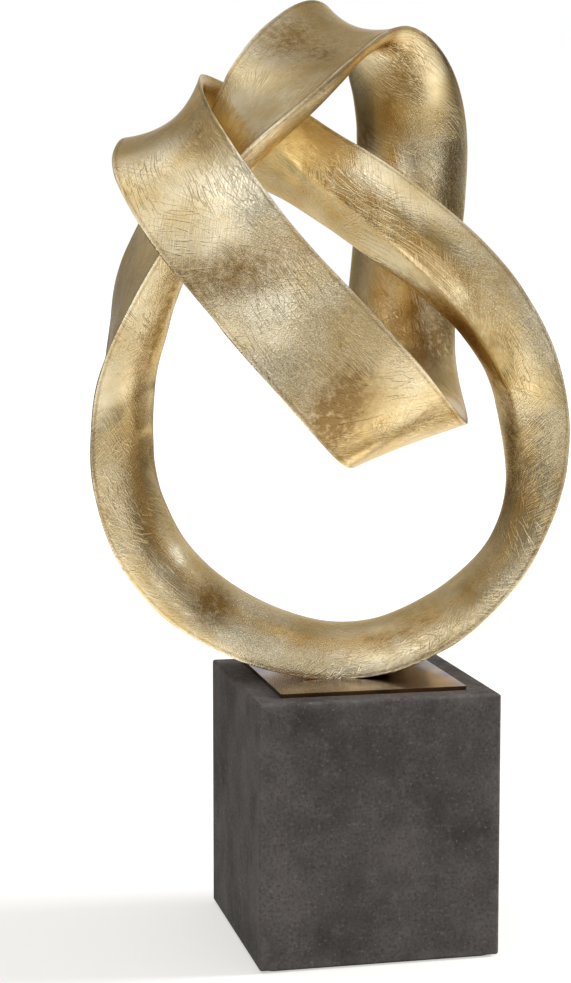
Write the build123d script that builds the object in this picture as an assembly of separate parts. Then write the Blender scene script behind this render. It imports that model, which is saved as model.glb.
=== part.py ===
from build123d import *
import math
import os

import numpy as np

os.makedirs("parts", exist_ok=True)

# A knot of one flat-faced band, tied in a trefoil, standing on a square plinth.
# +Z is up, the origin is the middle of the underside, and the plinth's sides lie along X and Y.
# Sizes are in millimetres and angles in degrees.

# Rubber pad under the plinth
pad_thickness = 1.0
pad_setback = 3.0
pad_corner_radius = 5.0

# Plinth block
block_side = 120.0
block_height = 130.0
block_edge_radius = 1.4

# Cap plate between the plinth and the knot
plate_side = 93.0
plate_thickness = 2.0
plate_corner_radius = 0.8

# Band of the knot: a flat outer face and a half-round inner side
band_width = 57.0
band_depth = 25.0

# The band is thinner and hollowed over the hook and the crown, and slimmer where it passes through the hook
hook_width = 48.0
hook_depth = 13.0
hook_hollow = 8.0
crown_depth = 18.0
crown_hollow = 7.0
crossing_width = 52.0
crossing_depth = 21.0

# How the knot stands: turned about Z, and ground flat by this much under its foot
knot_turn = -12.6
foot_grind = 1.0

# Tenons that join one casting of the band to the next
tenon_inset = 6.0
tenon_reach = 13.0
tenon_clearance = 0.25
socket_end_gap = 0.5

# Stud that ties the knot to the plinth, with its threaded insert
stud_diameter = 10.0
stud_chamfer = 1.0
stud_hole_clearance = 0.6
thread_clearance = 0.1
insert_wall = 2.5
insert_length = 15.0
insert_clearance = 0.1
insert_end_gap = 0.4

# Clamping hardware in the pocket under the plinth
washer_diameter = 30.0
washer_thickness = 2.5
spring_washer_wall = 3.75
spring_washer_thickness = 2.5
spring_washer_slit = 1.6
hardware_clearance = 0.25
nut_across_flats = 17.0
nut_thickness = 8.4
nut_chamfer = 1.0
stud_past_nut = 3.0
pocket_side_gap = 3.0
pocket_end_gap = 7.6

# Stations round the knot, in the knot's own frame: right, back and up from the middle of the cap plate's top.
# Each has the middle of the band's flat face there, the way that face looks, the band's width and depth,
# and how far the flat face is hollowed in its middle.
stations = [
    ("foot", (-6, 11, 0), (0.00, 0.00, -1.00), band_width, band_depth, 0),
    ("low right", (68, 8, 27), (0.63, -0.14, -0.77), band_width + 2, band_depth + 2, 0),
    ("right, below", (99, 3, 75), (0.93, -0.11, -0.35), band_width + 2, band_depth, 0),
    ("right", (103, 3, 127), (0.98, 0.11, 0.19), band_width, band_depth + 4, 0),
    ("right, above", (82, 1, 178), (0.76, 0.33, 0.56), band_width, band_depth + 2, 0),
    ("arm", (36, 6, 222), (0.63, 0.52, 0.58), band_width + 1, band_depth + 1, 0),
    ("arm, above", (-13, 26, 257), (0.58, 0.52, 0.63), band_width, band_depth + 2, 0),
    ("into the hook", (-56, 34, 274), (0.09, 0.75, 0.65), band_width - 1, hook_depth + 7, 1),
    ("back of the hook", (-79, 22, 277), (-0.44, 0.47, 0.77), hook_width + 9, hook_depth + 4, hook_hollow - 3),
    ("top of the hook", (-92, -24, 282), (-0.63, -0.05, 0.77), hook_width, hook_depth, hook_hollow),
    ("out of the hook", (-87, -73, 257), (-0.31, -0.78, 0.54), hook_width + 7, hook_depth + 6, hook_hollow - 4),
    ("front ribbon", (-49, -92, 204), (-0.04, -0.99, 0.12), band_width - 1, band_depth - 2, 1),
    ("front ribbon, below", (1, -95, 148), (0.35, -0.88, -0.32), band_width + 1, band_depth - 1, 0),
    ("lower fold", (29, -20, 119), (0.32, -0.01, -0.95), band_width + 1, band_depth - 1, 0),
    ("riser, below", (27, 46, 158), (0.05, 0.83, -0.56), band_width, band_depth, 0),
    ("riser", (31, 67, 223), (0.00, 0.99, -0.13), band_width, band_depth, 0),
    ("riser, above", (32, 68, 285), (0.29, 0.92, 0.26), band_width + 2, band_depth - 2, 2),
    ("crown", (8, 30, 331), (0.33, 0.00, 0.94), band_width - 1, crown_depth, crown_hollow),
    ("crown, front", (-22, -5, 314), (-0.07, -0.55, 0.83), band_width, crown_depth + 3, crown_hollow - 3),
    ("crossing", (-42, -31, 291), (-0.34, -0.60, 0.72), crossing_width + 5, crossing_depth + 1, 2),
    ("through the hook", (-82, -32, 244), (-0.79, -0.41, 0.45), crossing_width, crossing_depth, 1),
    ("left, above", (-116, -9, 187), (-0.94, -0.21, 0.28), band_width + 2, band_depth + 3, 0),
    ("left", (-124, -1, 133), (-0.99, 0.13, 0.03), band_width, band_depth, 0),
    ("low left", (-102, 3, 53), (-0.81, 0.24, -0.53), band_width + 4, band_depth - 2, 0),
]

# Castings in order round the knot, each with the station number at which it starts.
# A number between two stations is that share of the way from one to the next.
castings = [
    ("foot_section", 23.50),
    ("right_limb", 0.70),
    ("arm_section", 3.60),
    ("hook_section", 6.60),
    ("front_ribbon", 10.45),
    ("lower_fold", 12.25),
    ("riser_section", 14.10),
    ("crown_section", 15.80),
    ("crossing_section", 18.50),
    ("left_limb", 21.00),
]

# Spacing of the outlines that each casting is lofted through, and points on each side of an outline
outline_spacing = 12.0
face_points = 7
bulge_points = 13

# Levels, from the underside up
block_bottom = pad_thickness
block_top = block_bottom + block_height
plate_top = block_top + plate_thickness
insert_top = plate_top + insert_length

# Levels of the clamping hardware, from the pocket's top down
pocket_depth = washer_thickness + spring_washer_thickness + nut_thickness + stud_past_nut + pocket_end_gap
pocket_top = block_bottom + pocket_depth
washer_bottom = pocket_top - washer_thickness
spring_bottom = washer_bottom - spring_washer_thickness
nut_bottom = spring_bottom - nut_thickness
stud_bottom = nut_bottom - stud_past_nut

# Diameters that follow from the stud and the washer
insert_diameter = stud_diameter + 2 * insert_wall
insert_bore = insert_diameter + 2 * insert_clearance
thread_bore = stud_diameter + 2 * thread_clearance
stud_hole = stud_diameter + 2 * stud_hole_clearance
washer_hole = stud_diameter + 2 * hardware_clearance
spring_washer_diameter = washer_hole + 2 * spring_washer_wall
pocket_diameter = washer_diameter + 2 * pocket_side_gap


def on_plinth(points):
    """Points or directions of the knot's own frame, turned to the plinth's X, Y and Z."""
    right, back, up = np.array(points, dtype=float).T
    turn = math.radians(knot_turn)
    x = right * math.cos(turn) - back * math.sin(turn)
    y = right * math.sin(turn) + back * math.cos(turn)
    return np.column_stack([x, y, up])


# Closed cubic spline through the stations: place, facing, width, depth and hollow together
count = len(stations)
places = on_plinth([station[1] for station in stations])
places[:, 2] += plate_top - foot_grind
facings = on_plinth([station[2] for station in stations])
sections = np.array([station[3:6] for station in stations], dtype=float)
table = np.hstack([places, facings, sections])
foot_x, foot_y = places[0, :2]


def spline_bends(steps, slopes):
    """Second derivatives at the stations that make the closed cubic spline smooth everywhere."""
    matrix = np.zeros((count, count))
    for i in range(count):
        matrix[i, i - 1] += steps[i - 1]
        matrix[i, i] += 2 * (steps[i - 1] + steps[i])
        matrix[i, (i + 1) % count] += steps[i]
    return np.linalg.solve(matrix, 6 * (slopes - np.roll(slopes, 1, axis=0)))


spline_steps = np.sqrt(np.linalg.norm(np.roll(places, -1, axis=0) - places, axis=1))
spline_slopes = (np.roll(table, -1, axis=0) - table) / spline_steps[:, None]
bends = spline_bends(spline_steps, spline_slopes)


def spline_at(number):
    """Value and slope of the spline at a station number, which may pass the last station."""
    i = int(number) % count
    j = (i + 1) % count
    b = number - int(number)
    a = 1 - b
    step = spline_steps[i]
    value = a * table[i] + b * table[j]
    value = value + ((a**3 - a) * bends[i] + (b**3 - b) * bends[j]) * step**2 / 6
    slope = spline_slopes[i] + ((1 - 3 * a**2) * bends[i] + (3 * b**2 - 1) * bends[j]) * step / 6
    return value, slope


# Length along the band, traced twice round so that a span can run on past the foot
trace_numbers = np.linspace(0, 2 * count, 200 * count + 1)
trace = np.array([spline_at(number)[0][:3] for number in trace_numbers])
trace_lengths = np.concatenate([[0], np.cumsum(np.linalg.norm(np.diff(trace, axis=0), axis=1))])


def band_outline(number, inset=0.0):
    """Closed outline of the band at a station number, drawn in by an inset on every side.

    The outer face is a shallow parabola, and the inner side is half an ellipse from rim to rim.
    """
    value, slope = spline_at(number)
    tangent = slope[:3] / np.linalg.norm(slope[:3])
    outward = value[3:6] - value[3:6].dot(tangent) * tangent
    across = np.cross(outward, tangent)
    plane = Plane(origin=tuple(value[:3]), x_dir=tuple(across), z_dir=tuple(tangent))
    half = value[6] / 2 - inset
    depth = value[7] - 2 * inset
    hollow = value[8]
    shares = np.linspace(-1, 1, face_points)
    face = [(half * s, -inset - hollow * (1 - s**2)) for s in shares]
    angles = np.linspace(0, math.pi, bulge_points)[1:-1]
    bulge = [(half * math.cos(t), -inset - depth * math.sin(t)) for t in angles]
    face = [plane.from_local_coords(Vector(x, y, 0)) for x, y in face]
    bulge = [plane.from_local_coords(Vector(x, y, 0)) for x, y in bulge]
    return Wire([Edge.make_spline(face), Edge.make_spline([face[-1]] + bulge + [face[0]])])


def band_span(start_number, end_number):
    """Solid of the band between two station numbers, lofted through evenly spaced outlines."""
    start, end = np.interp([start_number, end_number], trace_numbers, trace_lengths)
    pieces = max(2, math.ceil((end - start) / outline_spacing))
    lengths = np.linspace(start, end, pieces + 1)
    numbers = np.interp(lengths, trace_lengths, trace_numbers)
    return Solid.make_loft([band_outline(number) for number in numbers])


def seam_bar(number, inset, reach):
    """Straight bar across a seam, with the band's outline there drawn in by an inset."""
    return extrude(Face(band_outline(number, inset)), reach, both=True)


def upright(bottom, top, diameter):
    """Cylinder on the stud's axis between two levels."""
    return Location((foot_x, foot_y, (bottom + top) / 2)) * Cylinder(diameter / 2, top - bottom)


def casting(start_number, end_number):
    """One length of the band, with a socket for a tenon in each end."""
    body = band_span(start_number, end_number)
    for number in (start_number, end_number):
        body -= seam_bar(number, tenon_inset - tenon_clearance, tenon_reach + socket_end_gap)
    return body


def grind_and_bore(foot):
    """The foot's casting, flat where it stands on the plate and bored for the threaded insert."""
    grindings = Location((foot_x, foot_y, plate_top - plate_side / 2)) * Box(plate_side, plate_side, plate_side)
    return foot - grindings - upright(block_top, insert_top + insert_end_gap, insert_bore)


def base_pad():
    """Thin rubber pad, set back from the plinth's sides."""
    side = block_side - 2 * pad_setback
    pad = Location((0, 0, pad_thickness / 2)) * Box(side, side, pad_thickness)
    return fillet(pad.edges().filter_by(Axis.Z), pad_corner_radius)


def plinth_block():
    """Block with eased edges, a hole for the stud and a pocket for the nut from below."""
    block = Location((0, 0, (block_bottom + block_top) / 2)) * Box(block_side, block_side, block_height)
    block = fillet(block.edges(), block_edge_radius)
    block -= upright(block_bottom, block_top, stud_hole)
    return block - upright(block_bottom, pocket_top, pocket_diameter)


def cap_plate():
    """Thin square plate with a hole for the stud."""
    plate = Location((0, 0, (block_top + plate_top) / 2)) * Box(plate_side, plate_side, plate_thickness)
    plate = fillet(plate.edges().filter_by(Axis.Z), plate_corner_radius)
    return plate - upright(block_top, plate_top, stud_hole)


def threaded_insert():
    """Sleeve in the foot that the stud screws into."""
    return upright(plate_top, insert_top, insert_diameter) - upright(plate_top, insert_top, thread_bore)


def anchor_stud():
    """Stud from the insert down through plate and plinth, and out past the nut."""
    stud = upright(stud_bottom, insert_top, stud_diameter)
    return chamfer(stud.edges().filter_by(GeomType.CIRCLE), stud_chamfer)


def clamp_washer():
    """Broad washer against the pocket's top."""
    return upright(washer_bottom, pocket_top, washer_diameter) - upright(washer_bottom, pocket_top, washer_hole)


def spring_washer():
    """Split washer between the broad washer and the nut."""
    ring = upright(spring_bottom, washer_bottom, spring_washer_diameter)
    ring -= upright(spring_bottom, washer_bottom, washer_hole)
    slit = Box(spring_washer_diameter, spring_washer_slit, spring_washer_thickness)
    slit_x = foot_x + spring_washer_diameter / 2
    return ring - Location((slit_x, foot_y, (spring_bottom + washer_bottom) / 2)) * slit


def clamp_nut():
    """Hexagon nut with its corners eased at both ends."""
    hexagon = RegularPolygon(nut_across_flats / 2, 6, major_radius=False)
    nut = Location((foot_x, foot_y, nut_bottom)) * extrude(hexagon, nut_thickness)
    corners = 2 * nut_across_flats / math.sqrt(3)
    turned = upright(nut_bottom, spring_bottom, corners)
    turned = chamfer(turned.edges().filter_by(GeomType.CIRCLE), nut_chamfer)
    return (nut & turned) - upright(nut_bottom, spring_bottom, thread_bore)


# Every piece by name
nodes = {
    "base_pad": base_pad(),
    "plinth_block": plinth_block(),
    "cap_plate": cap_plate(),
    "threaded_insert": threaded_insert(),
    "anchor_stud": anchor_stud(),
    "clamp_washer": clamp_washer(),
    "spring_washer": spring_washer(),
    "clamp_nut": clamp_nut(),
}
for index, (name, seam) in enumerate(castings):
    name_before = castings[index - 1][0]
    next_seam = castings[(index + 1) % len(castings)][1]
    if next_seam < seam:
        next_seam += count
    nodes[name] = casting(seam, next_seam)
    tenon_name = "tenon_" + name_before.split("_")[0] + "_to_" + name.split("_")[0]
    nodes[tenon_name] = seam_bar(seam, tenon_inset, tenon_reach)
nodes["foot_section"] = grind_and_bore(nodes["foot_section"])

for name, shape in nodes.items():
    export_step(shape, "parts/" + name + ".step")
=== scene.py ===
import math

import bpy
import numpy as np
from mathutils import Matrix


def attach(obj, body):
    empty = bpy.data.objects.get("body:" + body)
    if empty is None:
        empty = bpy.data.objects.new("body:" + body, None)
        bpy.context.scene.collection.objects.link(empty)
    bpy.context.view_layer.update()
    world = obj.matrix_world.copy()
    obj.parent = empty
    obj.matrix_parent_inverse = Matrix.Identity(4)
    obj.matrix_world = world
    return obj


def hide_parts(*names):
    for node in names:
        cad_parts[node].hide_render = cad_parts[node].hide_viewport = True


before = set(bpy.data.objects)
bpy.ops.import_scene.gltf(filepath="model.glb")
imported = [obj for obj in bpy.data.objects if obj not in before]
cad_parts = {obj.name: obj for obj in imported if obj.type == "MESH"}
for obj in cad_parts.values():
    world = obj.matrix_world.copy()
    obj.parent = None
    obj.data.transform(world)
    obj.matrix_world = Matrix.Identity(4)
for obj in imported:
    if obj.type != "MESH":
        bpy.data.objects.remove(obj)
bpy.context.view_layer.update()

# Sizes in millimetres, as in the part's source. Meshes are made in metres.

MM = 0.001
pad_thickness = 1.0
block_side = 120.0
block_height = 130.0
plate_thickness = 2.0
band_width = 57.0
band_depth = 25.0
hook_width = 48.0
hook_depth = 13.0
hook_hollow = 8.0
crown_depth = 18.0
crown_hollow = 7.0
crossing_width = 52.0
crossing_depth = 21.0
knot_turn = -12.6
foot_grind = 1.0
tenon_inset = 5.75
tenon_reach = 13.5

block_bottom = pad_thickness
block_top = block_bottom + block_height
plate_top = block_top + plate_thickness

# The band's skin: radius of its rims, step along the band, how far a rim's wear reaches, points across the
# face, round the inner side and from end to end of a rim, and points of the trace that measures the path
rim_radius = 1.0
skin_step = 1.5
rim_reach = 4.0
face_points = 27
bulge_points = 63
rim_points = 8
trace_points = 6001

# Shallow dents left by hand work: greatest depth, number of waves, least turns of a wave along the band and the
# number they stay below, most turns around it, largest shift, the sum of waves at which a dent is nearly full,
# and the seed of the draws
wave_depth = 0.55
wave_count = 26
wave_turns_along = (12, 40)
wave_turns_around = 3
wave_shift = 6.3
wave_range = 3.5
wave_seed = 11

# Stations round the knot, from the middle of the plate's top: right, back and up, the way the flat face
# looks, the band's width and depth, and how far the flat face is hollowed
stations = [
    ((-6, 11, 0), (0.00, 0.00, -1.00), band_width, band_depth, 0),
    ((68, 8, 27), (0.63, -0.14, -0.77), band_width + 2, band_depth + 2, 0),
    ((99, 3, 75), (0.93, -0.11, -0.35), band_width + 2, band_depth, 0),
    ((103, 3, 127), (0.98, 0.11, 0.19), band_width, band_depth + 4, 0),
    ((82, 1, 178), (0.76, 0.33, 0.56), band_width, band_depth + 2, 0),
    ((36, 6, 222), (0.63, 0.52, 0.58), band_width + 1, band_depth + 1, 0),
    ((-13, 26, 257), (0.58, 0.52, 0.63), band_width, band_depth + 2, 0),
    ((-56, 34, 274), (0.09, 0.75, 0.65), band_width - 1, hook_depth + 7, 1),
    ((-79, 22, 277), (-0.44, 0.47, 0.77), hook_width + 9, hook_depth + 4, hook_hollow - 3),
    ((-92, -24, 282), (-0.63, -0.05, 0.77), hook_width, hook_depth, hook_hollow),
    ((-87, -73, 257), (-0.31, -0.78, 0.54), hook_width + 7, hook_depth + 6, hook_hollow - 4),
    ((-49, -92, 204), (-0.04, -0.99, 0.12), band_width - 1, band_depth - 2, 1),
    ((1, -95, 148), (0.35, -0.88, -0.32), band_width + 1, band_depth - 1, 0),
    ((29, -20, 119), (0.32, -0.01, -0.95), band_width + 1, band_depth - 1, 0),
    ((27, 46, 158), (0.05, 0.83, -0.56), band_width, band_depth, 0),
    ((31, 67, 223), (0.00, 0.99, -0.13), band_width, band_depth, 0),
    ((32, 68, 285), (0.29, 0.92, 0.26), band_width + 2, band_depth - 2, 2),
    ((8, 30, 331), (0.33, 0.00, 0.94), band_width - 1, crown_depth, crown_hollow),
    ((-22, -5, 314), (-0.07, -0.55, 0.83), band_width, crown_depth + 3, crown_hollow - 3),
    ((-42, -31, 291), (-0.34, -0.60, 0.72), crossing_width + 5, crossing_depth + 1, 2),
    ((-82, -32, 244), (-0.79, -0.41, 0.45), crossing_width, crossing_depth, 1),
    ((-116, -9, 187), (-0.94, -0.21, 0.28), band_width + 2, band_depth + 3, 0),
    ((-124, -1, 133), (-0.99, 0.13, 0.03), band_width, band_depth, 0),
    ((-102, 3, 53), (-0.81, 0.24, -0.53), band_width + 4, band_depth - 2, 0),
]

# Castings in order round the knot, each with the station number at which it starts
castings = [
    ("foot_section", 23.50),
    ("right_limb", 24.70),
    ("arm_section", 27.60),
    ("hook_section", 30.60),
    ("front_ribbon", 34.45),
    ("lower_fold", 36.25),
    ("riser_section", 38.10),
    ("crown_section", 39.80),
    ("crossing_section", 42.50),
    ("left_limb", 45.00),
]

# Painted highlights and shade on the leaf: station number, part of the way around the band from one rim of the
# face, half length and half width, slant in degrees, and how pale (or dark, below zero)
painted_light_marks = [
    # Hook and front ribbon
    (9.5, 0.20, 9, 26, -12, -0.6),
    (10.0, 0.33, 16, 10, 0, -0.7),
    (10.5, 0.31, 20, 13, 20, 0.7),
    (10.5, 0.50, 26, 12, 0, 1.2),
    (10.95, 0.14, 13, 34, -25, -1.0),
    (11.4, 0.20, 18, 26, 0, 0.4),
    (12.0, 0.10, 15, 24, 25, -1.6),
    (12.5, 0.20, 5, 40, 8, -0.7),
    # Crown and crossing
    (17.9, 0.10, 18, 15, 20, -1.1),
    (18.1, 0.28, 14, 8, 10, -0.8),
    (18.1, 0.45, 50, 4, 0, 0.8),
    (19.45, 0.18, 10, 26, 0, 0.9),
    (19.8, 0.70, 34, 24, 0, 1.2),
    (21.0, 0.18, 26, 34, -10, -0.6),
    # Right limb and arm
    (2.6, 0.63, 56, 6, -2, -1.3),
    (4.2, 0.72, 40, 8, 5, -1.4),
    (4.1, 0.60, 34, 8, 4, 1.0),
    (5.9, 0.54, 34, 10, 8, 1.2),
    # Fold and riser
    (12.8, 0.57, 22, 15, 0, 1.3),
    (13.2, 0.08, 18, 20, 0, 1.2),
    (14.0, 0.54, 30, 11, -10, -1.4),
    (15.4, 0.53, 28, 5, -5, -0.9),
    (15.85, 0.88, 20, 10, -25, -1.0),
    (17.0, 0.54, 16, 7, -10, 0.9),
    # Left limb
    (20.8, 0.55, 34, 5, 3, -1.3),
    (22.1, 0.60, 46, 5, 4, -0.7),
    (23.0, 0.60, 7, 11, 0, 1.6),
    (23.3, 0.56, 10, 13, 0, -1.5),
    (23.65, 0.55, 10, 14, 0, 0.9),
]

# Painted highlights and shade that lie over each other add up to no more than this, pale or dark
strongest_painted_light = 1.3

# Soft ridge along the arm's inner side, dressed down on both sides of it: station numbers, the part of the
# way around the band at each, greatest depth beside it, reach of its slopes, roundness of its crest, and how
# many stations it takes to fade at its ends
ridge_stations = [2.6, 3.0, 3.5, 4.0, 4.5, 5.0, 6.0, 6.6]
ridge_parts = [0.57, 0.575, 0.605, 0.64, 0.65, 0.63, 0.58, 0.57]
ridge_depth = 1.3
ridge_reach = 7.0
ridge_roundness = 2.5
ridge_fade = 0.6


# The band's path

def on_plinth(points):
    """Points or directions of the knot's own frame, turned about Z to the plinth's X and Y."""
    right, back, up = np.array(points, dtype=float).T
    turn = math.radians(knot_turn)
    x = right * math.cos(turn) - back * math.sin(turn)
    y = right * math.sin(turn) + back * math.cos(turn)
    return np.column_stack([x, y, up])


def knot_table():
    """One row for each station: place, facing, width, depth and hollow."""
    places = on_plinth([station[0] for station in stations])
    places[:, 2] += plate_top - foot_grind
    facings = on_plinth([station[1] for station in stations])
    sections = np.array([station[2:5] for station in stations], dtype=float)
    return np.hstack([places, facings, sections])


def knot_spline(numbers):
    """Closed cubic spline through the stations, with steps that grow as the square root of the distance.

    Returns values and slopes at an array of station numbers, which may run on past the last station.
    """
    table = knot_table()
    count = len(table)
    steps = np.sqrt(np.linalg.norm(np.roll(table, -1, axis=0)[:, :3] - table[:, :3], axis=1))
    rises = (np.roll(table, -1, axis=0) - table) / steps[:, None]
    before = np.roll(steps, 1)
    matrix = np.diag(2 * (before + steps))
    matrix += np.roll(np.diag(before), -1, axis=1)
    matrix += np.roll(np.diag(steps), 1, axis=1)
    bends = np.linalg.solve(matrix, 6 * (rises - np.roll(rises, 1, axis=0)))
    i = np.floor(numbers).astype(int) % count
    j = (i + 1) % count
    b = (numbers - np.floor(numbers))[:, None]
    a = 1 - b
    step = steps[i][:, None]
    values = a * table[i] + b * table[j]
    values = values + ((a**3 - a) * bends[i] + (b**3 - b) * bends[j]) * step**2 / 6
    slopes = rises[i] + ((1 - 3 * a**2) * bends[i] + (3 * b**2 - 1) * bends[j]) * step / 6
    return values, slopes


def skin_rows():
    """Rows of the skin once round the knot.

    Returns their station numbers, their lengths along the path, the path's whole length, and the row at
    which each casting starts.
    """
    start = castings[0][1]
    trace = np.linspace(start, start + len(stations), trace_points)
    points = knot_spline(trace)[0][:, :3]
    lengths = np.concatenate([[0], np.cumsum(np.linalg.norm(np.diff(points, axis=0), axis=1))])
    seams = np.interp([seam for name, seam in castings] + [trace[-1]], trace, lengths)
    counts = np.ceil(np.diff(seams) / skin_step).astype(int)
    spans = [np.linspace(a, b, n, endpoint=False) for a, b, n in zip(seams[:-1], seams[1:], counts)]
    rows = np.concatenate(spans)
    starts = np.concatenate([[0], np.cumsum(counts)])
    return np.interp(rows, lengths, trace), rows, lengths[-1], starts


# The band's surface

def band_profile(half, depth, hollow, inset=0.0):
    """Outline of the band across its path, as arrays of rows by points.

    The face is a parabola, the inner side half an ellipse, and each rim a quadratic curve between them.
    """
    half = half[:, None] - inset
    depth = depth[:, None] - 2 * inset
    hollow = hollow[:, None]
    start = rim_radius / depth
    x = np.linspace(-1, 1, face_points)[None] * (half - rim_radius)
    y = -hollow * (1 - (x / half) ** 2)
    angle = start + np.linspace(0, 1, bulge_points)[None] * (math.pi - 2 * start)
    bulge_x = half * np.cos(angle)
    bulge_y = -depth * np.sin(angle)
    t = np.linspace(0, 1, rim_points)[None, 1:-1]
    corner_x = (1 - t) ** 2 * x[:, -1:] + 2 * t * (1 - t) * half + t**2 * bulge_x[:, :1]
    corner_y = (1 - t) ** 2 * y[:, -1:] + t**2 * bulge_y[:, :1]
    across = np.hstack([x, corner_x, bulge_x, -corner_x[:, ::-1]])
    outward = np.hstack([y, corner_y, bulge_y, corner_y[:, ::-1]])
    return across, outward - inset


def band_frame(numbers):
    """Centre, tangent, across and outward vectors at station numbers, with half width, depth and hollow."""
    values, slopes = knot_spline(numbers)
    tangent = slopes[:, :3] / np.linalg.norm(slopes[:, :3], axis=1)[:, None]
    outward = values[:, 3:6]
    outward = outward - np.sum(outward * tangent, axis=1)[:, None] * tangent
    outward = outward / np.linalg.norm(outward, axis=1)[:, None]
    across = np.cross(outward, tangent)
    return values[:, :3], tangent, across, outward, values[:, 6] / 2, values[:, 7], values[:, 8]


def place_profile(centre, across, outward, profile_x, profile_y):
    """Points of a profile carried along the path: centre plus x times across plus y times outward."""
    points = centre[:, None] + profile_x[..., None] * across[:, None]
    return points + profile_y[..., None] * outward[:, None]


def waves(rows, crosswise, length):
    """Shallow dents by hand work, all inwards: a sum of cosines that close along and around the band."""
    dice = np.random.default_rng(wave_seed)
    along = rows[:, None] / length * 2 * math.pi
    around = crosswise[None, :-1] / crosswise[-1] * 2 * math.pi
    total = np.zeros((len(rows), len(crosswise) - 1))
    for _ in range(wave_count):
        turns_along = dice.integers(*wave_turns_along)
        turns_around = dice.integers(-wave_turns_around, wave_turns_around + 1)
        total += np.cos(turns_along * along + turns_around * around + dice.uniform(0, wave_shift))
    return -wave_depth * (0.5 + 0.5 * np.tanh(total / wave_range))


def painted_light_tones(numbers, rows, crosswise, length):
    """Painted highlights and shade, pale or dark: a sum of soft ellipses in the band's own surface, closed both
    ways.
    """
    total = np.zeros((len(rows), len(crosswise) - 1))
    girth = crosswise[-1]
    for station, part, half_length, half_width, slant, amount in painted_light_marks:
        number = numbers[0] + (station - numbers[0]) % len(stations)
        along = rows[:, None] - np.interp(number, numbers, rows)
        along = (along + length / 2) % length - length / 2
        around = (crosswise[None, :-1] - part * girth + girth / 2) % girth - girth / 2
        turn = math.radians(slant)
        p = along * math.cos(turn) + around * math.sin(turn)
        q = around * math.cos(turn) - along * math.sin(turn)
        total += amount * np.exp(-(p / half_length) ** 2 - (q / half_width) ** 2)
    return np.clip(total, -strongest_painted_light, strongest_painted_light)


def ridge_press(numbers, crosswise):
    """Depth dressed down beside the ridge: grows away from it, then dies away, and fades at its ends."""
    number = numbers % len(stations)
    middle = np.interp(number, ridge_stations, ridge_parts) * crosswise[-1]
    from_start = np.clip((number - ridge_stations[0]) / ridge_fade, 0, 1)
    to_end = np.clip((ridge_stations[-1] - number) / ridge_fade, 0, 1)
    fade = from_start * to_end
    off = np.hypot(crosswise[None, :-1] - middle[:, None], ridge_roundness) - ridge_roundness
    off = off / ridge_reach
    return -ridge_depth * fade[:, None] * off * np.exp(1 - off)


def grid_normals(points):
    """Unit normals of a grid that closes both ways: the cross product of its two central differences."""
    along = np.roll(points, -1, axis=0) - np.roll(points, 1, axis=0)
    around = np.roll(points, -1, axis=1) - np.roll(points, 1, axis=1)
    normals = np.cross(along, around)
    return normals / np.linalg.norm(normals, axis=2)[..., None]


def skin_grid(numbers, rows, length):
    """The whole skin, as arrays of rows by points round the band.

    Holds points and normals, closeness to a rim from 1 on the rim to 0 at its reach, the leaf's painted
    highlights and shade, lengths around the band, and at each row the mouth of a socket and the way into it
    along the path.
    """
    centre, tangent, across, outward, half, depth, hollow = band_frame(numbers)
    profile_x, profile_y = band_profile(half, depth, hollow)
    points = place_profile(centre, across, outward, profile_x, profile_y)
    edges = np.linalg.norm(np.roll(points, -1, axis=1) - points, axis=2).mean(axis=0)
    crosswise = np.concatenate([[0], np.cumsum(edges)])
    pressed = waves(rows, crosswise, length) + ridge_press(numbers, crosswise)
    points = points + grid_normals(points) * pressed[..., None]
    points[..., 2] = np.maximum(points[..., 2], plate_top)
    off_rim = np.hypot(half[:, None] - np.abs(profile_x), profile_y)
    socket_x, socket_y = band_profile(half, depth, hollow, tenon_inset)
    return {
        "points": points,
        "normals": grid_normals(points),
        "rim": np.clip(1 - off_rim / rim_reach, 0, 1),
        "tone": painted_light_tones(numbers, rows, crosswise, length),
        "crosswise": crosswise,
        "mouths": place_profile(centre, across, outward, socket_x, socket_y),
        "inward": tenon_reach * tangent[:, None],
    }


def ring_faces(count, width):
    """Quads between neighbouring rings of a stack, and a fan of triangles round the pole at each end."""
    i, j = np.meshgrid(np.arange(count - 1), np.arange(width), indexing="ij")
    k = (j + 1) % width
    quads = np.stack([i * width + j, (i + 1) * width + j, (i + 1) * width + k, i * width + k], axis=-1)
    j = np.arange(width)
    k = (j + 1) % width
    last_ring = (count - 1) * width
    first_pole = np.full(width, count * width)
    first = np.stack([first_pole, j, k], axis=-1)
    last = np.stack([last_ring + j, first_pole + 1, last_ring + k], axis=-1)
    return quads.reshape(-1, 4), np.vstack([first, last])


def set_normals(mesh, quads, normals, smooth_rows):
    """Corner normals: the ones given in the smooth rows of quads, the face's own elsewhere."""
    flat = np.zeros(len(mesh.polygons) * 3)
    mesh.polygons.foreach_get("normal", flat)
    flat = flat.reshape(-1, 3)
    count, width = normals.shape[:2]
    row = np.repeat(np.arange(count - 1), width)
    smooth = (row >= smooth_rows[0]) & (row < smooth_rows[1])
    quad_normals = np.where(smooth[:, None, None], normals.reshape(-1, 3)[quads], flat[: len(quads), None])
    fan_normals = np.repeat(flat[len(quads):, None], 3, axis=1)
    corners = np.vstack([quad_normals.reshape(-1, 3), fan_normals.reshape(-1, 3)])
    mesh.normals_split_custom_set(corners.tolist())


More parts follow.
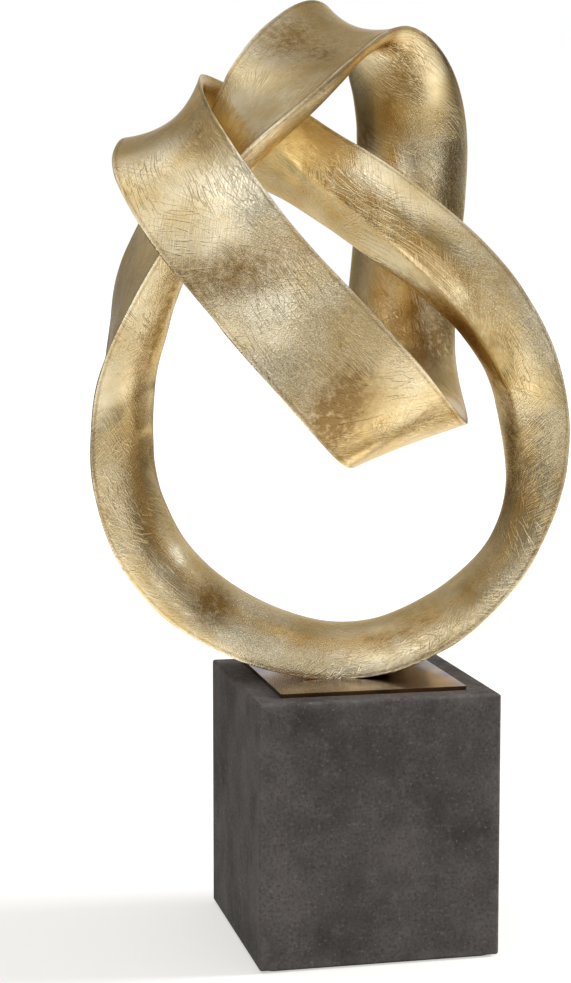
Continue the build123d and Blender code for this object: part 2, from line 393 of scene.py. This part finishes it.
def set_layers(mesh, lengthwise, crosswise, values):
    """UV layer with the lengths along and around the band, in metres, and named values at the points."""
    count, width = len(lengthwise), len(crosswise) - 1
    i, j = np.meshgrid(np.arange(count - 1), np.arange(width), indexing="ij")
    quad_u = lengthwise[np.stack([i, i + 1, i + 1, i], axis=-1)] * MM
    quad_v = crosswise[np.stack([j, j, j + 1, j + 1], axis=-1)] * MM
    quad_uv = np.stack([quad_u.ravel(), quad_v.ravel()], axis=-1)
    fan_uv = np.zeros((2 * width * 3, 2))
    layer = mesh.uv_layers.new(name="Band")
    layer.data.foreach_set("uv", np.vstack([quad_uv, fan_uv]).ravel())
    for label, at_rings in values.items():
        at_poles = [0.0, 0.0]
        layer = mesh.attributes.new(label, "FLOAT", "POINT")
        layer.data.foreach_set("value", np.concatenate([at_rings.ravel(), at_poles]))


def casting_skin(name, grid, take, lengths):
    """One closed piece, in metres: rows of the grid, with a socket of two rings and a pole in each end."""
    head, tail = take[0], take[-1]
    mouths, inward = grid["mouths"], grid["inward"]
    first_socket = [mouths[head] + inward[head], mouths[head]]
    last_socket = [mouths[tail], mouths[tail] - inward[tail]]
    rings = np.concatenate([first_socket, grid["points"][take], last_socket])
    poles = np.array([rings[0].mean(axis=0), rings[-1].mean(axis=0)])
    verts = np.vstack([rings.reshape(-1, 3), poles]) * MM
    quads, fans = ring_faces(*rings.shape[:2])
    mesh = bpy.data.meshes.new(name)
    mesh.from_pydata(verts.tolist(), [], quads.tolist() + fans.tolist())
    mesh.polygons.foreach_set("use_smooth", np.ones(len(mesh.polygons), dtype=bool))
    mesh.update()

    normals = np.pad(grid["normals"][take], ((2, 2), (0, 0), (0, 0)))
    set_normals(mesh, quads, normals, (2, 1 + len(take)))
    # The tone layer holds the leaf's painted highlights and shade.
    values = {label: np.pad(grid[label][take], ((2, 2), (0, 0))) for label in ("rim", "tone")}
    set_layers(mesh, np.pad(lengths, 2, mode="edge"), grid["crosswise"], values)
    piece = bpy.data.objects.new(name, mesh)
    bpy.context.scene.collection.objects.link(piece)
    return piece


def knot_skins():
    """The band's skin, one closed piece for each casting, with the casting's sockets in its ends.

    All pieces are cut from one grid, so the surface runs on across every seam.
    """
    numbers, rows, length, starts = skin_rows()
    grid = skin_grid(numbers, rows, length)
    pieces = []
    for (name, _), first, last in zip(castings, starts[:-1], starts[1:]):
        span = np.arange(first, last + 1)
        take = span % len(rows)
        lengths = rows[take] + length * (span >= len(rows))
        piece = casting_skin(name + "_skin", grid, take, lengths)
        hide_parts(name)
        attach(piece, "root")
        pieces.append(piece)
    return pieces


# Shader nodes

def new_material(name):
    """New material, with its node tree and its Principled shader."""
    material = bpy.data.materials.new(name)
    material.use_nodes = True
    tree = material.node_tree
    return material, tree, tree.nodes["Principled BSDF"]


def plug(tree, value, socket):
    """Links an output to an input socket, or sets the input to a plain value."""
    if isinstance(value, bpy.types.NodeSocket):
        tree.links.new(value, socket)
    else:
        socket.default_value = value


def add(tree, kind, **inputs):
    """New node of a kind. Inputs are values, or outputs to link, by input name with _ for a space."""
    node = tree.nodes.new(kind)
    for name, value in inputs.items():
        plug(tree, value, node.inputs[name.replace("_", " ")])
    return node


def math_node(tree, operation, first, second=0.0, clamp=False):
    """Result of one sum on two values."""
    node = tree.nodes.new("ShaderNodeMath")
    node.operation = operation
    node.use_clamp = clamp
    plug(tree, first, node.inputs[0])
    plug(tree, second, node.inputs[1])
    return node.outputs[0]


def vector_node(tree, operation, first, second=(0, 0, 0)):
    """Node for one sum on two vectors."""
    node = tree.nodes.new("ShaderNodeVectorMath")
    node.operation = operation
    plug(tree, first, node.inputs[0])
    plug(tree, second, node.inputs[1])
    return node


def remap(tree, value, low, high, to_low=0.0, to_high=1.0):
    """Value moved from one range to another, held at the ends."""
    node = add(tree, "ShaderNodeMapRange", Value=value, From_Min=low, From_Max=high)
    plug(tree, to_low, node.inputs["To Min"])
    plug(tree, to_high, node.inputs["To Max"])
    return node.outputs[0]


def noise(tree, vector, scale, detail=3.0, roughness=0.5, distortion=0.0):
    """Noise value, with the scale in waves per metre."""
    node = add(tree, "ShaderNodeTexNoise", Vector=vector, Scale=scale, Detail=detail)
    plug(tree, roughness, node.inputs["Roughness"])
    plug(tree, distortion, node.inputs["Distortion"])
    return node.outputs["Fac"]


def off_middle(tree, value):
    """How far a noise value is from its middle level."""
    return math_node(tree, "ABSOLUTE", math_node(tree, "SUBTRACT", value, 0.5))


def blend_colour(tree, factor, first, second):
    """Colour mixed from two colours."""
    node = tree.nodes.new("ShaderNodeMix")
    node.data_type = "RGBA"
    for index, value in ((0, factor), (6, first), (7, second)):
        plug(tree, value, node.inputs[index])
    return node.outputs[2]


def attribute(tree, name):
    """Value stored at the mesh's points."""
    node = tree.nodes.new("ShaderNodeAttribute")
    node.attribute_name = name
    return node.outputs["Fac"]


def own_place(tree):
    """Place in the object's own frame."""
    return tree.nodes.new("ShaderNodeTexCoord").outputs["Object"]


def bumps(tree, shader, *layers):
    """Bumps one over another, each with its height, its strength and its distance in metres."""
    normal = None
    for height, strength, distance in layers:
        bump = add(tree, "ShaderNodeBump", Height=height, Strength=strength, Distance=distance)
        if normal is not None:
            plug(tree, normal, bump.inputs["Normal"])
        normal = bump.outputs[0]
    plug(tree, normal, shader.inputs["Normal"])


def drawn_out(tree, uv, angle, along, across, offset, detail, distortion):
    """Noise drawn out along an axis turned in the band's own surface, with its waves per metre both ways."""
    mapping = add(tree, "ShaderNodeMapping", Vector=uv)
    mapping.vector_type = "TEXTURE"
    mapping.inputs["Location"].default_value = (offset, offset * 0.7, 0)
    mapping.inputs["Rotation"].default_value = (0, 0, math.radians(angle))
    mapping.inputs["Scale"].default_value = (1 / along, 1 / across, 1)
    return noise(tree, mapping.outputs[0], 1.0, detail, 0.5, distortion)


def areas(tree, spot, scale, shift, low, high):
    """Soft areas of the surface, from 0 outside them to 1 inside. Each shift gives other areas."""
    moved = vector_node(tree, "ADD", spot, (0.31 * shift, 0.17 * shift, -0.23 * shift))
    return remap(tree, noise(tree, moved.outputs[0], scale, 3.0, 0.55), low, high)


# Materials

deep_gold = (0.66, 0.48, 0.215, 1)
pale_gold = (0.86, 0.74, 0.49, 1)
# Pale gold of the painted highlights
painted_highlight_gold = (1.0, 0.88, 0.60, 1)
# Rim wear, partly a painted highlight
rim_wear_and_highlight_gold = (0.95, 0.86, 0.64, 1)
edge_gold = (0.84, 0.70, 0.46, 1)
fleck_brown = (0.38, 0.26, 0.10, 1)
# Brown of the painted shade
painted_shade_brown = (0.32, 0.195, 0.07, 1)
crack_brown = (0.36, 0.24, 0.09, 1)
crease_brown = (0.40, 0.28, 0.12, 1)
# Painted shade line beside the rims
painted_rim_shade_brown = (0.30, 0.20, 0.08, 1)

stone_dark = (0.064, 0.057, 0.052, 1)
stone_light = (0.130, 0.115, 0.103, 1)
stone_bloom = (0.17, 0.155, 0.14, 1)
stone_hollow = (0.034, 0.030, 0.027, 1)
stone_speck = (0.30, 0.27, 0.245, 1)
stone_dust = (0.20, 0.185, 0.17, 1)

rubber_dark = (0.018, 0.018, 0.018, 1)
rubber_light = (0.034, 0.033, 0.032, 1)

# Creases and scratches in the leaf: angle to the band's length in degrees, and waves per metre along and
# across
crease_sets = [(12, 42, 330), (48, 50, 300), (-8, 60, 420)]
scratch_sets = [(4, 55, 1500), (30, 75, 1700), (-44, 95, 1900)]


def leaf_creases(tree, uv, spot):
    """Long creases: level lines of drawn-out noise, at three angles, each in its own areas."""
    creases = None
    for index, (angle, along, across) in enumerate(crease_sets):
        level = drawn_out(tree, uv, angle, along, across, 0.37 * index, 1.0, 0.5)
        line = remap(tree, off_middle(tree, level), 0.0, 0.035, 1.0, 0.0)
        line = math_node(tree, "MULTIPLY", line, areas(tree, spot, 30.0, index + 1, 0.50, 0.68))
        creases = line if creases is None else math_node(tree, "MAXIMUM", creases, line)
    return creases


def leaf_scratches(tree, uv, spot):
    """Fine scratches: crests of much finer noise, crossed, each in its own areas."""
    scratches = None
    for index, (angle, along, across) in enumerate(scratch_sets):
        crest = remap(tree, drawn_out(tree, uv, angle, along, across, 0.53 * index, 2.0, 0.3), 0.50, 0.72)
        crest = math_node(tree, "MULTIPLY", crest, areas(tree, spot, 38.0, index + 5, 0.40, 0.64))
        scratches = crest if scratches is None else math_node(tree, "ADD", scratches, crest)
    return scratches


def painted_leaf_light(tree, spot):
    """Painted highlights and painted shade with ragged edges, from 0 to 1 each."""
    ragged = remap(tree, noise(tree, spot, 280.0, 5.0, 0.7), 0.32, 0.68, 0.4, 1.6)
    ragged = math_node(tree, "MULTIPLY", attribute(tree, "tone"), ragged)
    painted_highlight = math_node(tree, "MULTIPLY", ragged, 0.8, True)
    painted_shade = math_node(tree, "MULTIPLY", ragged, -0.8, True)
    return painted_highlight, painted_shade


def leaf_crackle(tree, spot, painted_highlight, painted_shade):
    """Crackle: ridges of fine noise, strong in some areas and under the painted shade, faint elsewhere and
    under the painted highlights.

    Returns its height, and the dark lines between the ridges, which deepen under the painted shade.
    """
    ridge = off_middle(tree, noise(tree, spot, 620.0, 3.0, 0.6))
    strong = math_node(tree, "MAXIMUM", painted_shade, areas(tree, spot, 17.0, 9, 0.42, 0.66))
    strong = math_node(tree, "MULTIPLY", strong, remap(tree, painted_highlight, 0.0, 0.8, 1.0, 0.1))
    height = math_node(tree, "MULTIPLY", ridge, math_node(tree, "MAXIMUM", strong, 0.1))
    lines = math_node(tree, "MULTIPLY", remap(tree, ridge, 0.0, 0.05, 0.5, 0.0), strong)
    return height, lines


def rim_wear_and_painted_light(tree, patch, fleck):
    """Bright wear along the very edge of a rim, partly a painted highlight, and a painted shade line beside it.
    """
    rim = attribute(tree, "rim")
    rim_wear_and_highlight = math_node(tree, "MULTIPLY", remap(tree, rim, 0.65, 0.85), remap(tree, patch, 0.3, 0.6))
    beside = math_node(tree, "SUBTRACT", remap(tree, rim, 0.20, 0.42), remap(tree, rim, 0.48, 0.66))
    beside = math_node(tree, "MULTIPLY", beside, remap(tree, fleck, 0.35, 0.60, 0.15, 0.6))
    return rim_wear_and_highlight, beside


def gold_leaf():
    """Leaf over a hand-dressed casting.

    Pale and deep gold in soft patches, painted highlights and painted shade, long creases, crackled areas, fine
    scratches, and rims with bright wear that is partly a painted highlight and a painted shade line beside it.
    """
    material, tree, shader = new_material("gold_leaf")
    spot = own_place(tree)
    band = tree.nodes.new("ShaderNodeUVMap")
    band.uv_map = "Band"
    uv = band.outputs[0]

    patch = noise(tree, spot, 26.0, 4.0, 0.6)
    fleck = noise(tree, spot, 420.0, 5.0, 0.7)
    grain = noise(tree, spot, 1500.0, 3.0, 0.6)
    creases = leaf_creases(tree, uv, spot)
    scratches = leaf_scratches(tree, uv, spot)
    painted_highlight, painted_shade = painted_leaf_light(tree, spot)
    crackle, cracks = leaf_crackle(tree, spot, painted_highlight, painted_shade)
    rim_wear_and_highlight, beside = rim_wear_and_painted_light(tree, patch, fleck)

    tone = blend_colour(tree, remap(tree, patch, 0.35, 0.66), deep_gold, pale_gold)
    tone = blend_colour(tree, remap(tree, fleck, 0.60, 0.74, 0.0, 0.5), tone, fleck_brown)
    # Painted highlights and painted shade, from the tone layer
    tone = blend_colour(tree, painted_highlight, tone, painted_highlight_gold)
    tone = blend_colour(tree, painted_shade, tone, painted_shade_brown)
    tone = blend_colour(tree, cracks, tone, crack_brown)
    tone = blend_colour(tree, math_node(tree, "MULTIPLY", creases, 0.08), tone, crease_brown)
    # Painted shade line beside each rim, and rim wear that is partly a painted highlight
    tone = blend_colour(tree, beside, tone, painted_rim_shade_brown)
    tone = blend_colour(tree, math_node(tree, "MULTIPLY", rim_wear_and_highlight, 0.7), tone, rim_wear_and_highlight_gold)
    plug(tree, tone, shader.inputs["Base Color"])
    plug(tree, remap(tree, patch, 0.3, 0.7, 0.22, 0.15), shader.inputs["Roughness"])
    bumps(
        tree, shader,
        (grain, 0.1, 0.0003), (crackle, 0.6, 0.001), (scratches, 0.4, 0.0002), (creases, 0.6, 0.00028),
    )
    shader.inputs["Metallic"].default_value = 1.0
    shader.inputs["Specular Tint"].default_value = edge_gold
    shader.inputs["Coat Weight"].default_value = 0.15
    shader.inputs["Coat Roughness"].default_value = 0.15
    return material


def to_block_edge(tree, spot):
    """Distance to the block's nearest edge: the middle one of the distances to its three pairs of faces."""
    parts = add(tree, "ShaderNodeSeparateXYZ", Vector=spot)
    half = block_side / 2 * MM
    middle = (block_bottom + block_top) / 2 * MM
    lift = math_node(tree, "SUBTRACT", parts.outputs[2], middle)
    side_x = math_node(tree, "SUBTRACT", half, math_node(tree, "ABSOLUTE", parts.outputs[0]))
    side_y = math_node(tree, "SUBTRACT", half, math_node(tree, "ABSOLUTE", parts.outputs[1]))
    side_z = math_node(tree, "SUBTRACT", block_height / 2 * MM, math_node(tree, "ABSOLUTE", lift))
    least = math_node(tree, "MINIMUM", math_node(tree, "MINIMUM", side_x, side_y), side_z)
    most = math_node(tree, "MAXIMUM", math_node(tree, "MAXIMUM", side_x, side_y), side_z)
    total = math_node(tree, "ADD", math_node(tree, "ADD", side_x, side_y), side_z)
    return math_node(tree, "SUBTRACT", math_node(tree, "SUBTRACT", total, least), most)


def stone_pits(tree, spot):
    """Height with pin holes in some areas: 0 in a hole and 1 outside."""
    holes = add(tree, "ShaderNodeTexVoronoi", Vector=spot, Scale=210.0)
    depth = remap(tree, holes.outputs["Distance"], 0.05, 0.16, 1.0, 0.0)
    sparse = remap(tree, noise(tree, spot, 60.0, 2.0), 0.5, 0.62)
    return math_node(tree, "SUBTRACT", 1.0, math_node(tree, "MULTIPLY", depth, sparse))


def dark_stone():
    """Charcoal cast stone: cloudy greys, pale dust along the edges, pin holes and light specks."""
    material, tree, shader = new_material("dark_stone")
    spot = own_place(tree)
    cloud = noise(tree, spot, 26.0, 8.0, 0.68)
    grain = noise(tree, spot, 600.0, 4.0, 0.7)
    bloom = noise(tree, spot, 130.0, 6.0, 0.7)
    near_edge = remap(tree, to_block_edge(tree, spot), 0.0, 0.006, 1.0, 0.0)
    dust = remap(tree, noise(tree, spot, 90.0, 5.0, 0.65), 0.42, 0.68)
    dust = math_node(tree, "MULTIPLY", near_edge, dust)

    tone = blend_colour(tree, remap(tree, cloud, 0.36, 0.64), stone_dark, stone_light)
    tone = blend_colour(tree, remap(tree, bloom, 0.54, 0.70, 0.0, 0.5), tone, stone_bloom)
    tone = blend_colour(tree, remap(tree, grain, 0.34, 0.50, 0.6, 0.0), tone, stone_hollow)
    tone = blend_colour(tree, remap(tree, grain, 0.60, 0.70, 0.0, 0.7), tone, stone_speck)
    tone = blend_colour(tree, math_node(tree, "MULTIPLY", dust, 0.55), tone, stone_dust)
    plug(tree, tone, shader.inputs["Base Color"])
    plug(tree, remap(tree, cloud, 0.3, 0.7, 0.86, 0.7), shader.inputs["Roughness"])
    bumps(tree, shader, (grain, 0.35, 0.0004), (stone_pits(tree, spot), 0.6, 0.0006))
    shader.inputs["Specular IOR Level"].default_value = 0.15
    return material


def brushed_metal(name, dark, light, roughness, lines):
    """Metal with fine brush lines, given as waves per metre along X, Y and Z, and soft smudges."""
    material, tree, shader = new_material(name)
    spot = own_place(tree)
    mapping = add(tree, "ShaderNodeMapping", Vector=spot, Scale=lines)
    brushed = noise(tree, mapping.outputs[0], 1.0, 3.0, 0.6)
    smudge = noise(tree, spot, 45.0, 5.0, 0.6)
    plug(tree, blend_colour(tree, remap(tree, smudge, 0.32, 0.68), dark, light), shader.inputs["Base Color"])
    dull = remap(tree, smudge, 0.3, 0.7, roughness + 0.1, roughness - 0.05)
    plug(tree, dull, shader.inputs["Roughness"])
    bumps(tree, shader, (brushed, 0.25, 0.0001))
    shader.inputs["Metallic"].default_value = 1.0
    return material


def black_rubber():
    """Dull black rubber with a fine pebbled grain."""
    material, tree, shader = new_material("black_rubber")
    spot = own_place(tree)
    pebble = noise(tree, spot, 1500.0, 2.0)
    cloud = noise(tree, spot, 60.0, 4.0)
    tone = blend_colour(tree, cloud, rubber_dark, rubber_light)
    plug(tree, tone, shader.inputs["Base Color"])
    plug(tree, remap(tree, cloud, 0.3, 0.7, 0.92, 0.8), shader.inputs["Roughness"])
    bumps(tree, shader, (pebble, 0.4, 0.0002))
    return material


def dress(material, *names):
    """Gives CAD nodes one material."""
    for name in names:
        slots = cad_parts[name].data.materials
        slots.clear()
        slots.append(material)


# Stage, lights and camera, in metres and degrees

camera_place = (-0.2646, -1.0303, 0.3397 + block_bottom * MM)
camera_turn = -12.62
camera_tilt = 6.22
camera_lens = 78.2
camera_sensor = 36.0

key_place = (2.26, -0.20, 1.06)
key_target = (0, 0, 0.1)
key_size = (0.5, 0.3)
key_power = 62

# The studio as the object sees it: a warm dim room, and soft glows in it. Each has its angle right of the
# camera's side, its height, its spread, and its colour. Reflections show a little of the camera's white, too.
room_colour = (0.10, 0.086, 0.070)
glows = [
    (-26, 24, 16, (1.42, 1.52, 1.76)),
    (30, 5, 14, (1.62, 1.73, 1.98)),
    (4, 46, 20, (0.82, 0.87, 0.98)),
    (-45, 72, 32, (0.75, 0.80, 0.90)),
    (-52, 64, 14, (0.54, 0.58, 0.66)),
    (-130, 70, 28, (0.45, 0.46, 0.50)),
    (166, 6, 32, (0.82, 0.87, 0.98)),
    (78, 50, 20, (0.67, 0.71, 0.79)),
    (113, 28, 14, (1.10, 1.17, 1.33)),
    (-84, 28, 24, (0.22, 0.22, 0.22)),
    (-144, 22, 14, (0.36, 0.36, 0.37)),
]
white_in_metal = 0.04

# The floor is a roll of white paper that runs from front to back, in a dim room. The camera sees only paper,
# with its white lifted more and more between two distances.
floor_radius = 25
floor_sides = 96
paper_half_width = 0.5
paper_fade = 0.25
paper_tone = (0.60, 0.582, 0.54, 1)
room_floor_tone = (0.16, 0.15, 0.13, 1)
lift_tone = (1, 0.99, 0.955, 1)
lift_distances = (0.7, 2.0)
lift_strengths = (0.50, 0.80)

# Bright places on the floor, as the metal mirrors them: angle right of the camera's side, distance, spread
# and strength
pools = [
    (-45, 0.45, 0.26, 0.95),
    (-10, 1.10, 0.55, 0.65),
    (165, 1.50, 1.00, 0.75),
    (170, 0.25, 0.22, 1.00),
    (-30, 0.20, 0.14, 0.70),
    (70, 0.85, 0.48, 0.80),
    (82, 0.19, 0.07, 0.90),
]


def towards(side, height):
    """Unit direction at an angle right of the camera's side and an angle above the floor, in degrees."""
    turn = math.radians(camera_turn + side - 90)
    lift = math.radians(height)
    return (math.cos(turn) * math.cos(lift), math.sin(turn) * math.cos(lift), math.sin(lift))


def pool_light(tree, spot):
    """Brightness of the floor's bright places: a sum of bell curves, each of the distance from its middle."""
    total = None
    for side, away, spread, strength in pools:
        middle = tuple(away * part for part in towards(side, 0))
        gap = vector_node(tree, "DISTANCE", spot, middle)
        ratio = math_node(tree, "DIVIDE", gap.outputs["Value"], spread)
        fall = math_node(tree, "MULTIPLY", math_node(tree, "MULTIPLY", ratio, ratio), -1.0)
        pool = math_node(tree, "MULTIPLY", math_node(tree, "EXPONENT", fall), strength)
        total = pool if total is None else math_node(tree, "ADD", total, pool)
    return total


def floor_material():
    """Pale floor that keeps the shadow.

    A wide strip of paper, lifted towards white for the camera, and bright in places in reflections.
    """
    material, tree, shader = new_material("pale_floor")
    tree.nodes.remove(shader)
    spot = own_place(tree)
    path = tree.nodes.new("ShaderNodeLightPath")
    seen = path.outputs["Is Camera Ray"]
    across = vector_node(tree, "DOT_PRODUCT", spot, towards(90, 0))
    off = math_node(tree, "ABSOLUTE", across.outputs["Value"])
    beside = remap(tree, off, paper_half_width, paper_half_width + paper_fade)
    beside = math_node(tree, "MULTIPLY", beside, math_node(tree, "SUBTRACT", 1.0, seen))
    tone = blend_colour(tree, beside, paper_tone, room_floor_tone)
    diffuse = add(tree, "ShaderNodeBsdfDiffuse", Color=tone)

    in_metal = math_node(tree, "MAXIMUM", path.outputs["Is Glossy Ray"], path.outputs["Is Transmission Ray"])
    in_metal = math_node(tree, "MULTIPLY", in_metal, pool_light(tree, spot))
    away = vector_node(tree, "LENGTH", spot)
    to_eye = remap(tree, away.outputs["Value"], *lift_distances, *lift_strengths)
    to_eye = math_node(tree, "MULTIPLY", seen, to_eye)
    strength = math_node(tree, "MAXIMUM", to_eye, in_metal)
    glow = add(tree, "ShaderNodeEmission", Color=lift_tone, Strength=strength)
    total = tree.nodes.new("ShaderNodeAddShader")
    plug(tree, diffuse.outputs[0], total.inputs[0])
    plug(tree, glow.outputs[0], total.inputs[1])
    plug(tree, total.outputs[0], tree.nodes["Material Output"].inputs[0])
    return material


def studio_floor():
    """Broad flat disc under the sculpture."""
    angle = np.linspace(0, 2 * math.pi, floor_sides, endpoint=False)
    rim = np.column_stack([np.cos(angle), np.sin(angle), np.zeros(floor_sides)]) * floor_radius
    mesh = bpy.data.meshes.new("studio_floor")
    mesh.from_pydata(rim.tolist(), [], [list(range(floor_sides))])
    mesh.materials.append(floor_material())
    floor = bpy.data.objects.new("studio_floor", mesh)
    bpy.context.scene.collection.objects.link(floor)


def studio_world():
    """White to the camera. For light and reflections, soft glows round a dim warm room."""
    world = bpy.data.worlds.new("studio_world")
    bpy.context.scene.world = world
    world.use_nodes = True
    tree = world.node_tree
    direction = tree.nodes.new("ShaderNodeTexCoord").outputs["Generated"]
    room = room_colour
    for side, height, spread, colour in glows:
        axis = vector_node(tree, "DOT_PRODUCT", direction, towards(side, height))
        sharpness = 2 / math.radians(spread) ** 2
        fall = math_node(tree, "MULTIPLY", math_node(tree, "SUBTRACT", axis.outputs["Value"], 1.0), sharpness)
        glow = vector_node(tree, "SCALE", colour)
        plug(tree, math_node(tree, "EXPONENT", fall), glow.inputs["Scale"])
        room = vector_node(tree, "ADD", glow.outputs[0], room).outputs[0]
    path = tree.nodes.new("ShaderNodeLightPath")
    seen = math_node(tree, "MAXIMUM", path.outputs["Is Camera Ray"], path.outputs["Is Transmission Ray"])
    in_metal = math_node(tree, "MULTIPLY", path.outputs["Is Glossy Ray"], white_in_metal)
    white = math_node(tree, "MAXIMUM", seen, in_metal)
    plug(tree, blend_colour(tree, white, room, (1, 1, 1, 1)), tree.nodes["Background"].inputs["Color"])


def key_box():
    """Rectangular area lamp on the right, which throws the shadow and is hidden from reflections."""
    lamp = bpy.data.lights.new("key_box", "AREA")
    lamp.shape = "RECTANGLE"
    lamp.size, lamp.size_y = key_size
    lamp.energy = key_power
    box = bpy.data.objects.new("key_box", lamp)
    bpy.context.scene.collection.objects.link(box)
    way = np.array(key_target, dtype=float) - np.array(key_place, dtype=float)
    flat = math.hypot(way[0], way[1])
    box.location = key_place
    box.rotation_euler = (math.atan2(flat, -way[2]), 0, math.atan2(-way[0], way[1]))
    box.visible_glossy = False


def photo_camera():
    """Camera where the photograph was taken: turned about Z towards +X, looking a little down."""
    lens = bpy.data.cameras.new("photo_camera")
    lens.lens = camera_lens
    lens.sensor_width = camera_sensor
    camera = bpy.data.objects.new("photo_camera", lens)
    bpy.context.scene.collection.objects.link(camera)
    camera.location = camera_place
    camera.rotation_euler = (math.radians(90 - camera_tilt), 0, math.radians(camera_turn))
    bpy.context.scene.camera = camera


# The sculpture

leaf = gold_leaf()
for skin in knot_skins():
    skin.data.materials.append(leaf)
dress(dark_stone(), "plinth_block")
dress(
    brushed_metal(
        "satin_gold", dark=(0.085, 0.045, 0.018, 1), light=(0.30, 0.17, 0.07, 1),
        roughness=0.15, lines=(30, 900, 900),
    ),
    "cap_plate",
)
dress(black_rubber(), "base_pad")
dress(
    brushed_metal(
        "zinc_steel", dark=(0.5, 0.5, 0.5, 1), light=(0.66, 0.65, 0.63, 1),
        roughness=0.35, lines=(200, 200, 900),
    ),
    "anchor_stud", "clamp_washer", "spring_washer", "clamp_nut",
)
dress(
    brushed_metal(
        "turned_brass", dark=(0.58, 0.42, 0.16, 1), light=(0.74, 0.58, 0.28, 1),
        roughness=0.3, lines=(200, 200, 1200),
    ),
    "threaded_insert",
)
tenons = [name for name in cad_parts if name.startswith("tenon_")]
dress(
    brushed_metal(
        "raw_aluminium", dark=(0.60, 0.60, 0.61, 1), light=(0.74, 0.74, 0.75, 1),
        roughness=0.4, lines=(300, 300, 300),
    ),
    *tenons,
)

studio_floor()
studio_world()
key_box()
photo_camera()

scene = bpy.context.scene
scene.view_settings.view_transform = "Standard"
